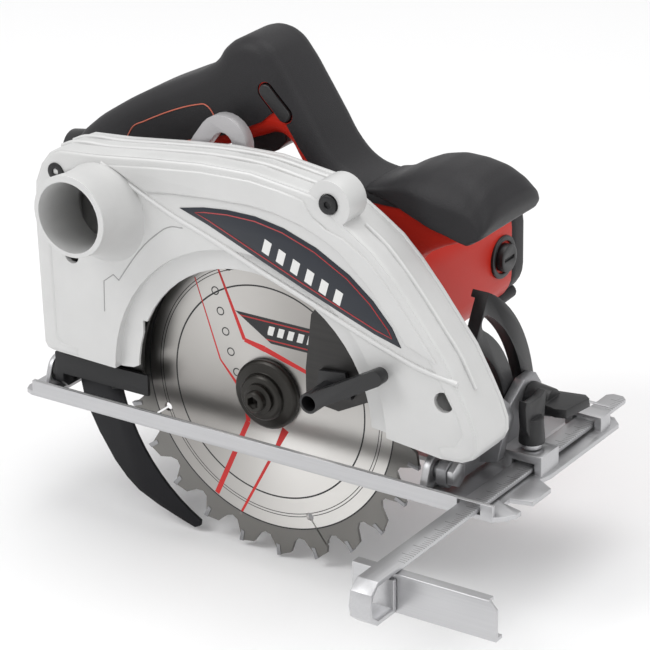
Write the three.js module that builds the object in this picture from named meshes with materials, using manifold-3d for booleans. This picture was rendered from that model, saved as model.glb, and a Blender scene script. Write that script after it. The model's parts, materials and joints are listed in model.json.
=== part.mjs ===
// Corded circular saw, built in millimetres with +X forward, +Z up and the blade on the -Y side.
// The parts are drawn about the arbor centre; the last lines move the origin to the sole underside.
import * as THREE from "three";
import { mergeVertices } from "three/addons/utils/BufferGeometryUtils.js";
import Module from "manifold-3d";

const wasm = await Module();
wasm.setup();

// Driving sizes
const bladeR = 95, bladeThick = 2.2, bladeBore = 30, teeth = 24;
const cutDepth = 66;
const soleBottom = cutDepth - bladeR; // arbor height above the sole underside, as a negative z
const soleThick = 2.6, soleX0 = -152, soleX1 = 148, soleY0 = -19, soleY1 = 118, lipHigh = 9;
const soleTop = soleBottom + soleThick;
const bevelY = -2, bevelZ = soleBottom + 12; // bevel axis, along X
const pivotX = 122, pivotZ = 6; // depth axis, along Y
const motorX = 6, motorZ = 31.4, motorR = 40, motorY0 = 44, capY0 = 171, motorY1 = 188;
const guardY0 = -20, guardY1 = 8.3, guardWall = 2.8, windowR = 74, chamberR = 101;
const handleY = 50, handleHalf = 19;
const gap = 0.3;
const arcR = 199, arcHalf = 15.5, arcSlotHalf = 6.4, arcY0 = 13.2, arcY1 = 20;
const quadIn = 64, quadOut = 94, quadSlotR = 79, quadX0 = 101, quadX1 = 108;
const barX = 134, barWide = 12, barThick = 2.5;

// Solids
function solid(geometry) {
  const g = geometry.clone();
  g.deleteAttribute("normal");
  g.deleteAttribute("uv");
  const m = mergeVertices(g, 1e-4);
  const tri = new Uint32Array(m.index.array);
  const make = () =>
    new wasm.Manifold(
      new wasm.Mesh({ numProp: 3, vertProperties: m.attributes.position.array, triVerts: tri }),
    );
  let s = make();
  if (s.volume() < 0) {
    for (let i = 0; i < tri.length; i += 3) [tri[i + 1], tri[i + 2]] = [tri[i + 2], tri[i + 1]];
    s = make();
  }
  return s;
}
const join = (...list) => list.reduce((a, b) => a.add(b));
const cut = (a, ...list) => list.reduce((s, b) => s.subtract(b), a);
const common = (a, b) => a.intersect(b);

const shapeOf = (points, holes = []) => {
  const s = new THREE.Shape(points.map(([a, b]) => new THREE.Vector2(a, b)));
  for (const h of holes) s.holes.push(new THREE.Path(h.map(([a, b]) => new THREE.Vector2(a, b))));
  return s;
};
const extrude = (points, depth, options = {}, holes = []) =>
  new THREE.ExtrudeGeometry(shapeOf(points, holes), {
    depth, bevelEnabled: false, curveSegments: 12, ...options,
  });
// Outline in (x, z) from y0 to y1, in (y, z) from x0 to x1, or in (x, y) from z0 to z1
const plateY = (pts, y0, y1, holes) =>
  solid(extrude(pts, y1 - y0, {}, holes).rotateX(Math.PI / 2).translate(0, y1, 0));
const plateX = (pts, x0, x1, holes) =>
  solid(
    extrude(pts, x1 - x0, {}, holes)
      .applyMatrix4(new THREE.Matrix4().set(0, 0, 1, x0, 1, 0, 0, 0, 0, 1, 0, 0, 0, 0, 0, 1)),
  );
const plateZ = (pts, z0, z1, holes) => solid(extrude(pts, z1 - z0, {}, holes).translate(0, 0, z0));
const box = (x0, x1, y0, y1, z0, z1) =>
  solid(
    new THREE.BoxGeometry(x1 - x0, y1 - y0, z1 - z0)
      .translate((x0 + x1) / 2, (y0 + y1) / 2, (z0 + z1) / 2),
  );
const rodY = (x, z, r, y0, y1, n = 32, r1 = r) =>
  solid(new THREE.CylinderGeometry(r1, r, y1 - y0, n).translate(x, (y0 + y1) / 2, z));
const rodX = (y, z, r, x0, x1, n = 24, r1 = r) =>
  solid(
    new THREE.CylinderGeometry(r1, r, x1 - x0, n).rotateZ(-Math.PI / 2)
      .translate((x0 + x1) / 2, y, z),
  );
const rodZ = (x, y, r, z0, z1, n = 24, r1 = r) =>
  solid(
    new THREE.CylinderGeometry(r1, r, z1 - z0, n).rotateX(Math.PI / 2)
      .translate(x, y, (z0 + z1) / 2),
  );
// Profile of (radius, y) pairs turned about the line through (x, z) along Y; it closes on itself
const turnY = (x, z, profile, n = 32) =>
  solid(
    new THREE.LatheGeometry(
      [...profile, profile[0]].map(([r, y]) => new THREE.Vector2(r, y)), n,
    ).translate(x, 0, z),
  );
const ringY = (x, z, rIn, rOut, y0, y1, n = 32) =>
  turnY(x, z, [[rIn, y0], [rOut, y0], [rOut, y1], [rIn, y1]], n);
// Round tube through circles given as [x, z, radius, y]
function loftY(rings, n = 36) {
  const pos = [], tri = [];
  for (const [x, z, r, y] of rings)
    for (let i = 0; i < n; i++) {
      const a = (2 * Math.PI * i) / n;
      pos.push(x + r * Math.cos(a), y, z + r * Math.sin(a));
    }
  const m = rings.length;
  for (let k = 0; k < m - 1; k++)
    for (let i = 0; i < n; i++) {
      const a = k * n + i, b = k * n + ((i + 1) % n);
      tri.push(a, b, b + n, a, b + n, a + n);
    }
  for (const [k, flip] of [[0, true], [m - 1, false]]) {
    const [x, z, , y] = rings[k], c = pos.length / 3;
    pos.push(x, y, z);
    for (let i = 0; i < n; i++) {
      const a = k * n + i, b = k * n + ((i + 1) % n);
      if (flip) tri.push(c, b, a);
      else tri.push(c, a, b);
    }
  }
  const g = new THREE.BufferGeometry();
  g.setAttribute("position", new THREE.Float32BufferAttribute(pos, 3));
  g.setIndex(tri);
  return solid(g);
}
const rad = (deg) => (deg * Math.PI) / 180;
const polar = (cx, cy, r, deg) => [cx + r * Math.cos(rad(deg)), cy + r * Math.sin(rad(deg))];
const arcPoints = (cx, cy, r, a0, a1, n) =>
  Array.from({ length: n + 1 }, (_, i) => polar(cx, cy, r, a0 + ((a1 - a0) * i) / n));
const circle = (cx, cy, r, n = 32) => arcPoints(cx, cy, r, 0, 360 - 360 / n, n - 1);
// Band of a ring between two radii and two angles, with round ends when asked for
const band = (cx, cy, rIn, rOut, a0, a1, n, round = false) => {
  const mid = (rIn + rOut) / 2, half = (rOut - rIn) / 2;
  const end = (deg, from) => {
    const [ex, ey] = polar(cx, cy, mid, deg);
    return arcPoints(ex, ey, half, from, from + 180, 8).slice(1, -1);
  };
  return [
    ...arcPoints(cx, cy, rOut, a0, a1, n),
    ...(round ? end(a1, a1) : []),
    ...arcPoints(cx, cy, rIn, a1, a0, n),
    ...(round ? end(a0, a0 + 180) : []),
  ];
};
function hull(points) {
  const p = [...points].sort((a, b) => a[0] - b[0] || a[1] - b[1]);
  const cross = (o, a, b) => (a[0] - o[0]) * (b[1] - o[1]) - (a[1] - o[1]) * (b[0] - o[0]);
  const half = (list) => {
    const h = [];
    for (const q of list) {
      while (h.length > 1 && cross(h[h.length - 2], h[h.length - 1], q) <= 1e-9) h.pop();
      h.push(q);
    }
    return h.slice(0, -1);
  };
  return [...half(p), ...half(p.reverse())];
}
const capsule = (c0, r0, c1, r1, n = 28) => hull([...circle(...c0, r0, n), ...circle(...c1, r1, n)]);
// Outline moved inwards by d (outwards when d is negative)
function inset(points, d) {
  const n = points.length;
  const area = points.reduce((s, [x, y], i) => {
    const [u, v] = points[(i + 1) % n];
    return s + x * v - u * y;
  }, 0);
  const sign = area > 0 ? 1 : -1;
  return points.map(([x, y], i) => {
    const [px, py] = points[(i + n - 1) % n], [qx, qy] = points[(i + 1) % n];
    const a = [x - px, y - py], b = [qx - x, qy - y];
    const la = Math.hypot(...a), lb = Math.hypot(...b);
    const na = [(-a[1] / la) * sign, (a[0] / la) * sign];
    const nb = [(-b[1] / lb) * sign, (b[0] / lb) * sign];
    const k = 1 + na[0] * nb[0] + na[1] * nb[1];
    return [x + (d * (na[0] + nb[0])) / k, y + (d * (na[1] + nb[1])) / k];
  });
}
function gearPoints(cx, cz, n, pitch, add, ded, turn = 0) {
  const out = [];
  for (let i = 0; i < n; i++)
    for (const [r, f] of [[pitch - ded, -0.34], [pitch + add, -0.11], [pitch + add, 0.11],
      [pitch - ded, 0.34]])
      out.push(polar(cx, cz, r, turn + ((i + f) * 360) / n));
  return out;
}

// Materials
const paint = (color, roughness, metalness) =>
  new THREE.MeshStandardMaterial({ color, roughness, metalness });
const steel = () => paint(0xb9bcc0, 0.35, 0.9);
const darkSteel = () => paint(0x4a4c50, 0.45, 0.8);
const alloy = () => paint(0xc9cac8, 0.5, 0.35);
const red = () => paint(0xb3231c, 0.45, 0.0);
const black = () => paint(0x17181a, 0.5, 0.0);
const rubber = () => paint(0x2b2a2d, 0.85, 0.0);
const copper = () => paint(0xb06a3a, 0.4, 0.8);

const saw = new THREE.Group();
saw.name = "circular_saw";
const place = new THREE.Group();
saw.add(place);
function add(name, s, material) {
  const m = s.getMesh(), n = m.numProp, pos = new Float32Array(m.numVert * 3);
  for (let i = 0; i < m.numVert; i++)
    pos.set(m.vertProperties.subarray(i * n, i * n + 3), i * 3);
  const g = new THREE.BufferGeometry();
  g.setAttribute("position", new THREE.BufferAttribute(pos, 3));
  g.setIndex(new THREE.BufferAttribute(new Uint32Array(m.triVerts), 1));
  g.computeVertexNormals();
  const mesh = new THREE.Mesh(g, material);
  mesh.name = name;
  place.add(mesh);
}

// Sole: pressed plate with turned-up edges, blade slot, bar slots and the threaded bridge
const slotX0 = -134, slotX1 = 99.5, slotY0 = -12.5, slotY1 = 24;
const barSlot = (y0, y1) =>
  box(barX - barWide / 2 - 0.8, barX + barWide / 2 + 0.8, y0, y1, soleTop, soleTop + 6);
const soleOutline = [
  [soleX0 + 6, soleY0], [soleX1, soleY0], [soleX1 + 4, soleY0 + 4], [soleX1 + 8, soleY0 + 10],
  [soleX1 + 8, -4], [soleX1 - 4, -1], [soleX1 - 4, 5], [soleX1 + 8, 8],
  [soleX1 + 8, 26], [soleX1 - 2, 32], [soleX1, 40], [soleX1, soleY1 - 6], [soleX1 - 6, soleY1],
  [soleX0 + 8, soleY1], [soleX0, soleY1 - 8], [soleX0, soleY0 + 6], [soleX0 + 1.8, soleY0 + 1.8],
];
const screwY = 44;
const bridge = cut(
  box(barX - 13, barX + 11, screwY - 9, screwY + 9, soleTop - 0.5, soleTop + 10.5),
  box(barX - barWide / 2 - 0.8, barX + barWide / 2 + 0.8, screwY - 20, screwY + 20,
    soleTop, soleTop + 6),
  rodZ(barX, screwY, 3.4, soleTop, soleTop + 20),
);
const farBridge = cut(
  box(barX - 11, barX + 11, 98, 108, soleTop - 0.5, soleTop + 8),
  box(barX - barWide / 2 - 0.8, barX + barWide / 2 + 0.8, 90, 116, soleTop, soleTop + 6),
);
add("sole_plate", cut(
  join(
    plateZ(soleOutline, soleBottom, soleTop,
      [[[slotX0, slotY0], [slotX0, slotY1], [slotX1, slotY1], [slotX1, slotY0]]]),
    box(soleX0 + 7, soleX1, soleY0, soleY0 + 2.6, soleBottom + 0.5, soleBottom + lipHigh),
    box(soleX0 + 10, soleX1 - 8, soleY1 - 2.6, soleY1, soleBottom + 0.5, soleBottom + lipHigh),
    bridge, farBridge,
  ),
  barSlot(soleY0 - 2, soleY0 + 6), barSlot(soleY1 - 8, soleY1 + 2),
), steel());

// Hinge ears on the sole and the bevel quadrant
const rearEarX = -138.3;
const ear = (x0, x1) => cut(
  plateX(hull([[bevelY - 12, soleTop + gap], [bevelY + 12, soleTop + gap],
    ...circle(bevelY, bevelZ, 8, 20)]), x0, x1),
  rodX(bevelY, bevelZ, 4.3, x0 - 5, x1 + 5),
);
add("rear_ear", ear(rearEarX - 3, rearEarX), steel());
add("front_ear", ear(quadX0, quadX0 + 4), steel());
const quadFoot = box(quadX0 - 10, quadX1, 55, 97, soleTop + gap, soleTop + 5);
const arcBand = (x0, x1, rIn, rOut, a0, a1, n) =>
  plateX(band(bevelY, bevelZ, rIn, rOut, a0, a1, n), x0, x1);
add("bevel_quadrant", cut(
  join(
    common(arcBand(quadX0, quadX1, quadIn, quadOut, -8, 61, 16),
      box(0, 300, -100, 200, soleTop + gap, 200)),
    arcBand(quadX0 - 2.5, quadX1, quadOut - 4, quadOut, -2, 61, 16),
    quadFoot,
  ),
  plateX(band(bevelY, bevelZ, quadSlotR - 4.2, quadSlotR + 4.2, 5, 57, 12, true), 80, 130),
), black());

// Parallel fence: flat bar with a hooked end, and the guide plate
const barZ0 = soleTop + 1.3, barZ1 = barZ0 + barThick;
const hookY = -104, plateY0 = -95.5, footZ = soleBottom - 17;
add("fence_bar", join(
  plateZ([[barX - barWide / 2, hookY - 8], [barX + barWide / 2, hookY - 8],
    [barX + barWide / 2, 134], [barX + barWide / 2 - 3, 137], [barX - barWide / 2 + 3, 137],
    [barX - barWide / 2, 134]], barZ0, barZ1),
  solid(extrude([
    [hookY - 8, barZ1], [hookY - 8, barZ0], [hookY - 12.5, barZ0 - 4], [hookY - 13.5, barZ0 - 10],
    [hookY - 12.5, footZ + 6], [hookY - 8, footZ + barThick], [plateY0 - gap - barThick, footZ + barThick],
    [plateY0 - gap - barThick, footZ + 18], [plateY0 - gap, footZ + 18], [plateY0 - gap, footZ],
    [hookY - 9, footZ], [hookY - 15, footZ + 5], [hookY - 16, barZ0 - 10], [hookY - 14.5, barZ0 - 2],
  ], barWide).applyMatrix4(
    new THREE.Matrix4().set(0, 0, 1, barX - barWide / 2, 1, 0, 0, 0, 0, 1, 0, 0, 0, 0, 0, 1))),
), steel());
add("fence_plate", join(
  plateY([[barX - 20, soleBottom - 18], [barX + 62, soleBottom - 18], [barX + 62, soleBottom - 1],
    [barX + 58, soleBottom + 3.4], [barX - 20, soleBottom + 3.4]], plateY0, plateY0 + 2),
  box(barX - 20, barX + 57, plateY0, plateY0 + 6, soleBottom + 1.4, soleBottom + 3.4),
  box(barX - 20, barX + 62, plateY0, plateY0 + 6, soleBottom - 18, soleBottom - 16),
), steel());
// Clamp screw of the fence: metal shank and moulded wing head
const shankTop = soleTop + 16;
add("fence_screw_shank", join(
  rodZ(barX, screwY, 3, barZ1 + gap, shankTop, 20),
  rodZ(barX, screwY, 5.5, soleTop + 11, soleTop + 13.5, 20),
), steel());
add("fence_screw_wing", cut(
  join(
    rodZ(barX, screwY, 7, soleTop + 14, soleTop + 28, 24, 6),
    plateX([[screwY - 10.4, soleTop + 36], [screwY - 9.6, soleTop + 40], [screwY - 5, soleTop + 38],
      [screwY + 5, soleTop + 38], [screwY + 9.6, soleTop + 40], [screwY + 10.4, soleTop + 36],
      [screwY + 9, soleTop + 24], [screwY + 5, soleTop + 17], [screwY - 5, soleTop + 17],
      [screwY - 9, soleTop + 24]], barX - 2.2, barX + 2.2),
  ),
  rodZ(barX, screwY, 3 + gap, soleTop, shankTop + gap, 20),
), black());

// Tilting frame: front bracket, rear holder and depth arc
const clampY = bevelY + quadSlotR * Math.cos(rad(9)), clampZ = bevelZ + quadSlotR * Math.sin(rad(9));
const bracketX0 = quadX1 + gap, bracketX1 = bracketX0 + 6;
add("tilt_bracket", cut(
  join(
    plateX([[bevelY - 7, bevelZ - 4], [bevelY - 4, bevelZ - 7], [clampY - 6, bevelZ - 8],
      [clampY + 10, bevelZ - 2], [clampY + 12, clampZ + 4], [clampY + 6, clampZ + 12],
      [clampY - 6, clampZ + 12], [clampY - 22, clampZ + 2], [bevelY + 10, bevelZ + 7],
      [bevelY - 3, bevelZ + 7], [bevelY - 7, bevelZ + 4]], bracketX0, bracketX1),
    plateY([[bracketX0, bevelZ - 6], [pivotX + 3, bevelZ - 2], [pivotX + 8, pivotZ - 5],
      ...arcPoints(pivotX, pivotZ, 9, -20, 160, 8), [bracketX0, pivotZ - 8]], 24, 31),
  ),
  rodX(bevelY, bevelZ, 4.3, 80, 140), rodX(clampY, clampZ, 4.3, 80, 140),
  rodY(pivotX, pivotZ, 5.3, 10, 50),
), black());
add("front_bevel_pin", join(
  rodX(bevelY, bevelZ, 4, quadX0 - 1.5, bracketX1 + 1, 20),
  rodX(bevelY, bevelZ, 7, bracketX1 + gap, bracketX1 + 4, 6),
), steel());
add("depth_pin", join(
  rodY(pivotX, pivotZ, 5, 12, 33, 24),
  rodY(pivotX, pivotZ, 7, 31 + gap, 33.2, 6),
), steel());
const arcEnd = 142.1, arcFoot = 186;
add("depth_arc", plateY(
  band(pivotX, pivotZ, arcR - arcHalf, arcR + arcHalf, arcEnd, arcFoot, 16, false).slice(0, 17)
    .concat(
      arcPoints(pivotX, pivotZ, arcR - arcHalf, arcFoot, arcEnd, 16),
      arcPoints(...polar(pivotX, pivotZ, arcR, arcEnd), arcHalf, arcEnd - 180, arcEnd, 12)
        .slice(1, -1),
    ),
  arcY0, arcY1,
  [band(pivotX, pivotZ, arcR - arcSlotHalf, arcR + arcSlotHalf, arcEnd, 180, 14, true)],
), alloy());
const holderZ0 = soleTop + 3.5, holderZ1 = bevelZ + 11;
const farBarY0 = arcY1 + gap, railY0 = -13.2;
add("rear_holder", cut(
  join(
    box(-132.6, -127.6, railY0, farBarY0 + 6, holderZ0, holderZ1),
    box(-132.6, -127.6, railY0, -4, bevelZ + 10.4, bevelZ + 15),
    box(-131, -70, railY0, railY0 + 2.2, bevelZ + 3, bevelZ + 15),
    box(-131, -64, farBarY0, farBarY0 + 6, holderZ0, holderZ1),
  ),
  rodX(bevelY, bevelZ, 4.3, -160, -120),
  // the near lower corner swings down as the frame tilts, so it is cut off clear of the sole
  plateX([[bevelY - 20, bevelZ - 8], [bevelY - 4.8, bevelZ - 8], [bevelY - 14, bevelZ + 1.2]], -140, -120),
), black());
add("rear_pivot_knob", join(
  rodX(bevelY, bevelZ, 4, rearEarX - 4, -127.8, 20),
  rodX(bevelY, bevelZ, 8, rearEarX + gap, -132.6 - gap, 24),
), black());

// Bevel clamp
add("bevel_bolt", join(
  rodX(clampY, clampZ, 3.8, quadX0 - 4, bracketX1 + 10, 20),
  rodX(clampY, clampZ, 8, quadX0 - 8, quadX0 - 3, 6),
), steel());
add("bevel_wing", cut(
  join(
    rodX(clampY, clampZ, 9, bracketX1 + gap, bracketX1 + 14, 24, 7.5),
    plateZ([[bracketX1 + 3, clampY - 7], [bracketX1 + 21, clampY - 11],
      [bracketX1 + 27, clampY - 9], [bracketX1 + 30, clampY + 10], [bracketX1 + 26, clampY + 13],
      [bracketX1 + 3, clampY + 8]], clampZ - 2.6, clampZ + 2.6),
  ),
  rodX(clampY, clampZ, 3.8 + gap, 90, bracketX1 + 10 + gap, 20),
), black());

// Depth clamp
const [boltX, boltZ] = polar(pivotX, pivotZ, arcR, 176.5);
add("depth_bolt", join(
  rodY(boltX, boltZ, 4.6, guardY1 + 0.6, 33, 20),
  rodY(boltX, boltZ, 8, guardY1 + 3.2, arcY0 - gap, 20),
), steel());
add("depth_lever", cut(
  join(
    rodY(boltX, boltZ, 10, arcY1 + gap, 32, 24),
    plateY([[boltX - 8, boltZ + 4], [boltX - 22, boltZ + 40], [boltX - 30, boltZ + 44],
      [boltX - 36, boltZ + 39], [boltX - 26, boltZ - 2], [boltX - 6, boltZ - 8]], 24, 31),
  ),
  rodY(boltX, boltZ, 4.6 + gap, 10, 40, 20),
), black());

// Gear housing with the spindle nose and the arm to the depth axis
const wheelR = 22.4, pinionR = 9.6, wheelTeeth = 28, pinionTeeth = 12;
const meshDeg = (Math.atan2(motorZ, motorX) * 180) / Math.PI;
const pinionTurn = meshDeg + 180 + ((meshDeg * wheelTeeth) / 360 % 1 + 0.5) * (360 / pinionTeeth);
const lockY = 28;
const noseR = 24, noseY0 = 5.2, caseY0 = 11.6, caseY1 = motorY0 - gap;
add("gear_housing", cut(
  join(
    plateY(capsule([0, 0], 25.6, [motorX, motorZ], motorR, 40), caseY0, caseY1),
    rodY(0, 0, noseR, noseY0, caseY0 + 1, 40),
    plateY(capsule([24, 6], 14, [pivotX, pivotZ], 10, 28), caseY0 + 1.4, 21),
  ),
  plateY(capsule([0, 0], 24.4, [motorX, motorZ], 15, 32), 19.5, 36.3),
  rodY(0, 0, 11.5, noseY0 - 1, 13), rodY(0, 0, 14.3, 12.2, 20),
  rodY(0, 0, 13.3, 36, 42.6), rodY(motorX, motorZ, 11.3, 36, 50),
  rodY(pivotX, pivotZ, 5.3, 5, 30),
  rodY(motorX, motorZ, 7.4, 14, 20), rodX(lockY, motorZ, 3.5, motorX + 10, motorX + 60, 16),
), alloy());

// Upper guard: cast cover with blade window and dust port, and the pressed back plate
const guardOutline = [
  [-128, 2.6], [-131.6, 3.6], [-133.2, 6.6], [-134, 40], [-135, 80], [-133.5, 99], [-129, 110], [-123.5, 117], [-116, 120.5],
  [-91, 122.6], [-57, 127], [-25, 130.6], [6, 131.6], [34, 128.2], [43, 127], [50, 123.4],
  [56, 117], [66, 111], [78, 103], [89.5, 91.8], [101, 78.4], [112, 64.6], [121.2, 52.8],
  [130.6, 36], [136, 25.4], [139.4, 16], [139.6, 9], [137, 3.6], [131, 0.6], [118, -0.4], [66, 5], [62, 12], [62, 30], [-70, 30], [-70, 12], [-74, 4], [-77.5, 2.2], [-84, 1.4],
];
const bore = (r, y0, y1) => rodY(0, 0, r, y0, y1, 56);
const legGap = (y0, y1) => box(-70, 62, y0, y1, -60, 31);
const guardCavity = cut(
  plateY(inset(guardOutline, guardWall), guardY0 + 3, guardY1 + 1),
  bore(88.5, guardY0 + 2, guardY0 + 7.6),
);
const portRings = (d, y0) => [
  [-90, 90, 28 + d, guardY0 + 1], [-88.5, 93, 25.5 + d, guardY0 - 6],
  [-86.5, 97, 23 + d, guardY0 - 18], [-84.5, 100.5, 22.5 + d, y0],
];
const knifeSlot = box(-131, -99, -4, 6, -4, 14);
const screwSpots = [[-119, 107.5], [53, 123.5]];
const bossY1 = -4;
add("guard_cover", cut(
  join(
    cut(join(plateY(guardOutline, guardY0, guardY1), loftY(portRings(0, -55))), guardCavity),
    rodY(...screwSpots[1], 12.5, guardY0, bossY1, 32),
  ),
  bore(windowR, -30, 20), bore(86, guardY0 - 2, guardY0 + 5),
  bore(chamberR, guardY0 + 7.6, 20), legGap(-40, 20), knifeSlot,
  loftY([[-90, 90, 19, guardY0 + 14], [-86.5, 97, 19, guardY0 - 18], [-84.5, 100.5, 19.5, -60]]),
  rodY(...screwSpots[0], 2.9, -30, 12, 16), rodY(...screwSpots[1], 2.9, -30, bossY1 - 3, 16),
  ...screwSpots.map(([x, z]) => rodY(x, z, 5.6, -30, guardY0 + 1.4, 20)),
  rodY(-112, 61, 4.5, -30, -10, 20), rodY(120, 31, 5.5, -30, -10, 20),
), alloy());
add("guard_back", cut(
  join(
    plateY(guardOutline.slice(0, 29).concat([[66, 2], [-74, 2]]), guardY1 + gap, guardY1 + 2.9),
    rodY(...screwSpots[0], 5.5, guardY0 + 3 + gap, guardY1 + 1, 20),
    rodY(-113, 17, 7, 2 + gap, guardY1 + 1, 20),
  ),
  rodY(0, 0, noseR + 3, 0, 20, 40),
  rodY(...screwSpots[0], 2.6, -30, 12, 16),
  rodY(-113, 17, 2.6, -5, 20, 16), rodY(boltX, boltZ, 5, 0, 20, 20),
), alloy());
for (const [i, [x, z]] of screwSpots.entries())
  add("guard_screw_" + (i + 1), cut(
    join(rodY(x, z, 2.3, guardY0 + 0.8, i ? bossY1 - 4 : guardY1, 16), rodY(x, z, 5.1, guardY0 - 1.6, guardY0 + 1.1, 20)),
    rodY(x, z, 2, guardY0 - 3, guardY0, 6),
  ), black());

// Riving knife behind the blade
const knifeIn = 100.5;
add("riving_knife", cut(
  plateY([
    [-125, 27], [-126.4, -10], [-126, -23], [-124.6, -30], [-120.2, -41], [-115, -51],
    [-105, -66], [-97, -74.5], [-89, -80.5], [-76, -86], [-62, -90.5], [-52, -93.4], [-48.4, -91.5],
    ...arcPoints(0, 0, knifeIn, 241.5, 184, 12), [-101, 27],
  ], 0.2, 2),
  rodY(-113, 17, 2.8, -5, 20, 16),
), darkSteel());
add("knife_screw", cut(
  join(rodY(-113, 17, 2.3, -1, guardY1, 16), rodY(-113, 17, 5.2, -3, 0.2 - gap, 20)),
  rodY(-113, 17, 2.2, -5, -1.4, 6),
), steel());

// Blade and its clamping parts
const bladePoints = [];
for (let i = 0; i < teeth; i++) {
  const a = 2 + (360 / teeth) * i;
  for (const [r, da] of [[bladeR, 0], [bladeR - 3, 5.2], [bladeR - 9.5, 7.4], [bladeR - 12, 9.6],
    [bladeR - 11, 12], [bladeR - 3.5, 14.6]])
    bladePoints.push(polar(0, 0, r, a + da));
}
add("saw_blade", cut(
  plateY(bladePoints, 0, bladeThick),
  rodY(0, 0, bladeBore / 2, -5, 10, 40),
  ...[20, 110, 200, 290].map((a) => {
    const [x, z] = polar(0, 0, 71, a);
    return join(
      rodY(x, z, 2.4, -5, 10, 12),
      plateY(hull([polar(0, 0, 71, a - 0.4), polar(0, 0, 71, a + 0.4),
        polar(0, 0, 98, a + 5.2), polar(0, 0, 98, a + 4.4)]), -5, 10),
    );
  }),
), steel());
add("inner_flange", cut(
  turnY(0, 0, [[8, 0.4], [bladeBore / 2 - gap, 0.4], [bladeBore / 2 - gap, 2.5], [19.5, 2.5],
    [19.5, 4.6], [10.5, 4.8], [10.5, 11.6], [8, 11.6]]),
  box(-1, 1, -1, 1, 100, 101),
), darkSteel());
add("outer_flange", turnY(0, 0, [[5.4, -9], [11.5, -9], [13, -7.4], [13, -5.2], [18, -4.4],
  [19.5, -3], [19.5, -gap], [5.4, -gap]]), black());
add("blade_bolt", cut(
  join(
    rodY(0, 0, 4.9, -10, 21, 20),
    turnY(0, 0, [[0.01, -15.4], [5.2, -15.4], [5.9, -14.6], [5.9, -11.4], [8.5, -11], [8.5, -9.3], [0.01, -9.3]], 32),
  ),
  rodY(0, 0, 3.6, -17, -10.6, 6),
), black());
add("arbor_shaft", cut(rodY(0, 0, 7.4, 2.9, 42.4, 28), rodY(0, 0, 5.2, 0, 22, 20)), steel());
add("arbor_gear", cut(
  plateY(gearPoints(0, 0, wheelTeeth, wheelR, 1.5, 1.9), 21, 35),
  rodY(0, 0, 7.7, 10, 40, 28),
), darkSteel());
const bearing = (x, z, rIn, rOut, y0, y1) =>
  turnY(x, z, [[rIn, y0], [rOut, y0], [rOut, y1], [rIn, y1]], 24);
add("arbor_bearing_blade_side", bearing(0, 0, 7.7, 14, 12.5, 19.2), steel());
add("arbor_bearing_gear_side", bearing(0, 0, 7.7, 13, 36.6, 42.3), steel());

// Moving lower guard, shown swung back, with its lever tube and arm
const guardRim = 98.8, wingY0 = -9.5, wingY1 = 7.4;
add("lower_guard", join(
  plateY(band(0, 0, 76, guardRim, 20, 190, 34), wingY0, wingY0 + 2),
  plateY([[30, 7], [30, 25], [34, 56], [40, 64], [45, 66], ...arcPoints(0, 0, 80, 55, 14, 6),
    [50, 5]], wingY0, wingY0 + 2),
  plateY(band(0, 0, 26, guardRim, 20, 190, 34), wingY1 - 2, wingY1),
  cut(rodY(0, 0, 32, wingY1 - 2, wingY1, 40), rodY(0, 0, noseR + 0.4, 0, 12, 40)),
  plateY(band(0, 0, guardRim - 2, guardRim, 20, 190, 34), wingY0, wingY1),
), darkSteel());
const leverX = 46, leverZ = 17, leverY0 = -31;
add("guard_lever", cut(
  join(
    rodY(leverX, leverZ, 5.6, leverY0, wingY0 - gap, 24),
    plateY(capsule([leverX + 3, leverZ + 1.8], 4.2, [86, 40], 4.2, 20), leverY0, leverY0 + 7),
    plateY([[leverX - 8, leverZ - 6], [leverX + 14, leverZ - 2], [leverX + 10, leverZ + 12],
      [leverX - 6, leverZ + 10]], wingY0 - gap - 2.5, wingY0 - gap),
  ),
  rodY(leverX, leverZ, 4.2, leverY0 - 2, leverY0 + 16, 20),
), black());
add("guard_spring", ringY(0, 0, noseR + 3.6, noseR + 6, wingY1 + gap, guardY1, 40), steel());

// Motor
const brushY = capY0 - 11;
const coreY0 = 72, coreY1 = 124;
add("motor_housing", cut(
  join(
    turnY(motorX, motorZ, [[motorR - 3, motorY0], [motorR, motorY0], [motorR, capY0],
      [motorR - 3, capY0]], 40),
    ...[-44, 30].map((x) => rodX(brushY, motorZ, 10.8, motorX + x, motorX + x + 14, 24)),
  ),
  rodY(motorX, motorZ, motorR - 3, motorY0 - 1, capY0 + 1, 40),
  rodX(brushY, motorZ, 8.3, motorX - 60, motorX + 60, 20),
  ...[0, 1, 2, 3, 4].map((i) => box(motorX - 60, motorX - 10, 56 + i * 7, 59 + i * 7,
    motorZ - 16, motorZ + 2)),
), red());
const capVents = [];
for (let i = 0; i < 10; i++) {
  const [x, z] = polar(motorX, motorZ, 25, 36 * i);
  capVents.push(rodY(x, z, 3.6, motorY1 - 10, motorY1 + 5, 10));
}
add("motor_end_cap", cut(
  turnY(motorX, motorZ, [[0.01, motorY1], [32, motorY1], [38, motorY1 - 3],
    [motorR + 1, motorY1 - 9], [motorR + 1, capY0 + gap], [motorR - 3, capY0 + gap],
    [motorR - 3, motorY1 - 8], [13, motorY1 - 8], [13, motorY1 - 15], [8.6, motorY1 - 15],
    [8.6, motorY1 - 5], [0.01, motorY1 - 5]], 36),
  ...capVents,
), rubber());
add("stator", cut(
  ringY(motorX, motorZ, 24.5, motorR - 3.4, coreY0, coreY1, 40),
  box(motorX - 10, motorX + 10, coreY0 - 1, coreY1 + 1, motorZ - 40, motorZ - 33),
), darkSteel());
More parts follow.
